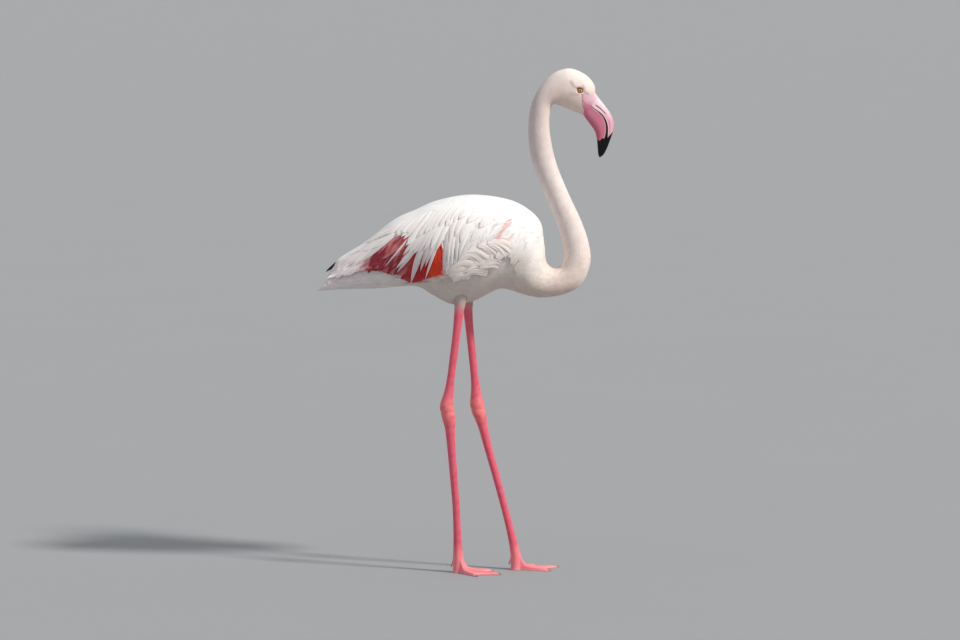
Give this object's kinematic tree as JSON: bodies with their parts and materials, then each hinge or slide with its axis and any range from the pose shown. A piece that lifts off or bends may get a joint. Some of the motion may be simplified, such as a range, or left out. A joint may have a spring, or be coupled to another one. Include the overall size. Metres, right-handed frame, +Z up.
{
  "type": "greater flamingo",
  "caption": "Life-size still model of a greater flamingo in mid stride, neck in an S, bill bent down, wings folded, resting on webbed feet.",
  "frame": {"origin": "on the floor, below the middle of the bounding box, in the bird's middle plane", "axes": "+X the way the bird faces, +Y towards its left side, +Z up"},
  "size_m": [0.6886, 0.2124, 1.184],
  "materials": {
    "down": "soft white down with a faint pink tinge",
    "neck_down": "short dense feathers, off-white to beige",
    "wing_feather": "white contour feathers with crimson coverts",
    "flight_feather": "black flight feathers, slightly glossy",
    "bill": "pink horn with a black tip, satin",
    "leg_skin": "scaly pink-red skin",
    "claw": "dark horn",
    "eye": "wet yellow iris with a small dark pupil"
  },
  "bodies": {
    "root": {"head": "neck_down", "neck_upper": "neck_down", "neck_middle": "neck_down", "neck_lower": "neck_down", "neck_base": "neck_down", "trunk": "down", "tail": "down", "thigh_left": "down", "thigh_right": "down", "wing_left": "wing_feather", "wing_right": "wing_feather", "wing_plume_left": "wing_feather", "wing_plume_right": "wing_feather", "wing_tip_left": "flight_feather", "wing_tip_right": "flight_feather", "bill_upper": "bill", "bill_lower": "bill", "eye_left": "eye", "eye_right": "eye", "shank_left": "leg_skin", "hock_left": "leg_skin", "tarsus_left": "leg_skin", "foot_left": "leg_skin", "hind_toe_left": "leg_skin", "claw_inner_left": "claw", "claw_middle_left": "claw", "claw_outer_left": "claw", "claw_hind_left": "claw", "shank_right": "leg_skin", "hock_right": "leg_skin", "tarsus_right": "leg_skin", "foot_right": "leg_skin", "hind_toe_right": "leg_skin", "claw_inner_right": "claw", "claw_middle_right": "claw", "claw_outer_right": "claw", "claw_hind_right": "claw"}
  },
  "joints": []
}
